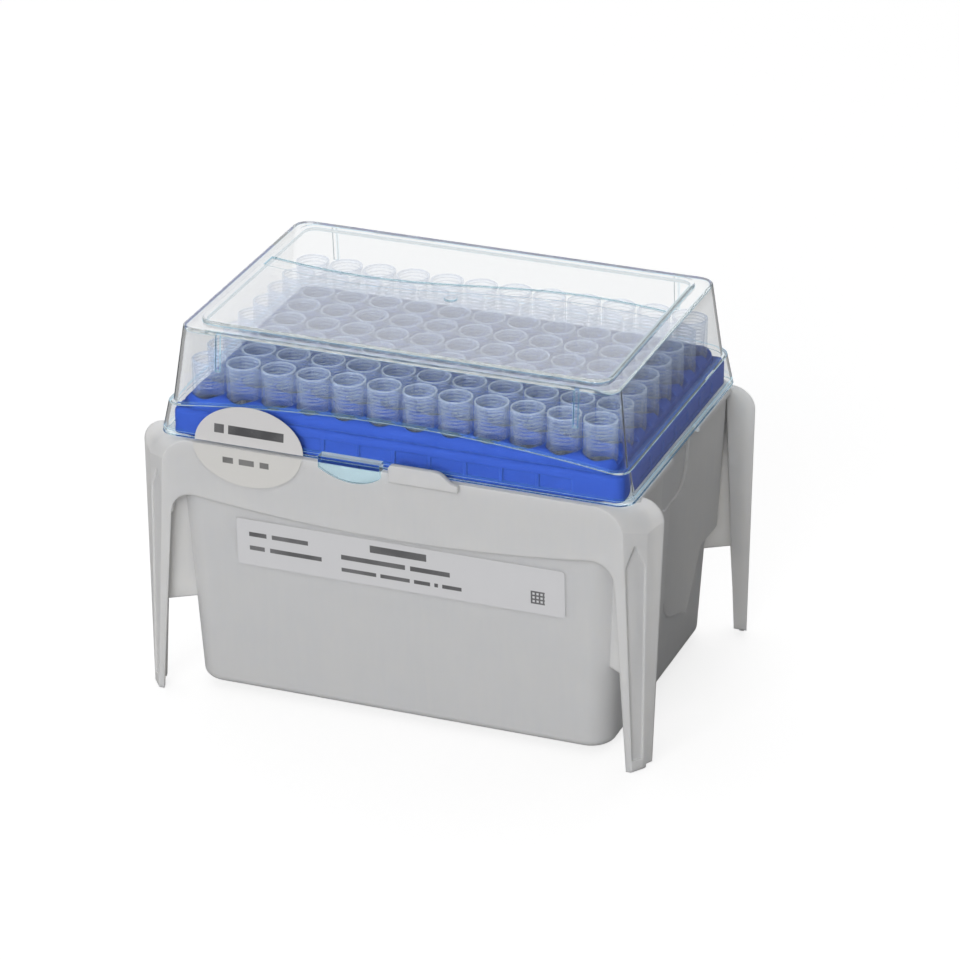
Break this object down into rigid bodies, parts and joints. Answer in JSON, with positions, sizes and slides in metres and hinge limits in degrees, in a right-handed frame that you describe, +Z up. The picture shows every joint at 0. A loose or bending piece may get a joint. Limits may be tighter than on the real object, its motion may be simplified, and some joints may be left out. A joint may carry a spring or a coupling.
{
  "type": "pipette tip box",
  "caption": "Legged plastic box with a hinged clear lid and a rack plate that holds a full grid of pipette tips by their collars.",
  "frame": {"origin": "on the floor under the centre of the tip grid, which is also the tub's centre", "axes": "+X along the long side, -Y towards the lid's thumb tab (front), +Z up"},
  "size_m": [0.1324, 0.0864, 0.0965],
  "materials": {
    "base_plastic": "satin natural polypropylene",
    "plate_plastic": "satin blue polypropylene",
    "tip_plastic": "clear natural polypropylene",
    "lid_plastic": "clear pale blue plastic",
    "label_film": "white printed film",
    "label_film_lower": "cream printed film",
    "product_film": "white printed film"
  },
  "bodies": {
    "box": {"base": "base_plastic", "rack_plate": "plate_plastic", "tips_column_01": "tip_plastic", "tips_column_02": "tip_plastic", "tips_column_03": "tip_plastic", "tips_column_04": "tip_plastic", "tips_column_05": "tip_plastic", "tips_column_06": "tip_plastic", "tips_column_07": "tip_plastic", "tips_column_08": "tip_plastic", "tips_column_09": "tip_plastic", "tips_column_10": "tip_plastic", "tips_column_11": "tip_plastic", "tips_column_12": "tip_plastic", "seal_label_base": "label_film_lower", "product_label": "product_film"},
    "lid": {"lid": "lid_plastic", "seal_label_lid": "label_film"}
  },
  "joints": [
    {"name": "lid_hinge", "type": "hinge", "parent": "box", "child": "lid", "pos_m": [0, 0.0419, 0.0686], "axis": [-1, 0, 0], "range_deg": [0, 110]}
  ]
}
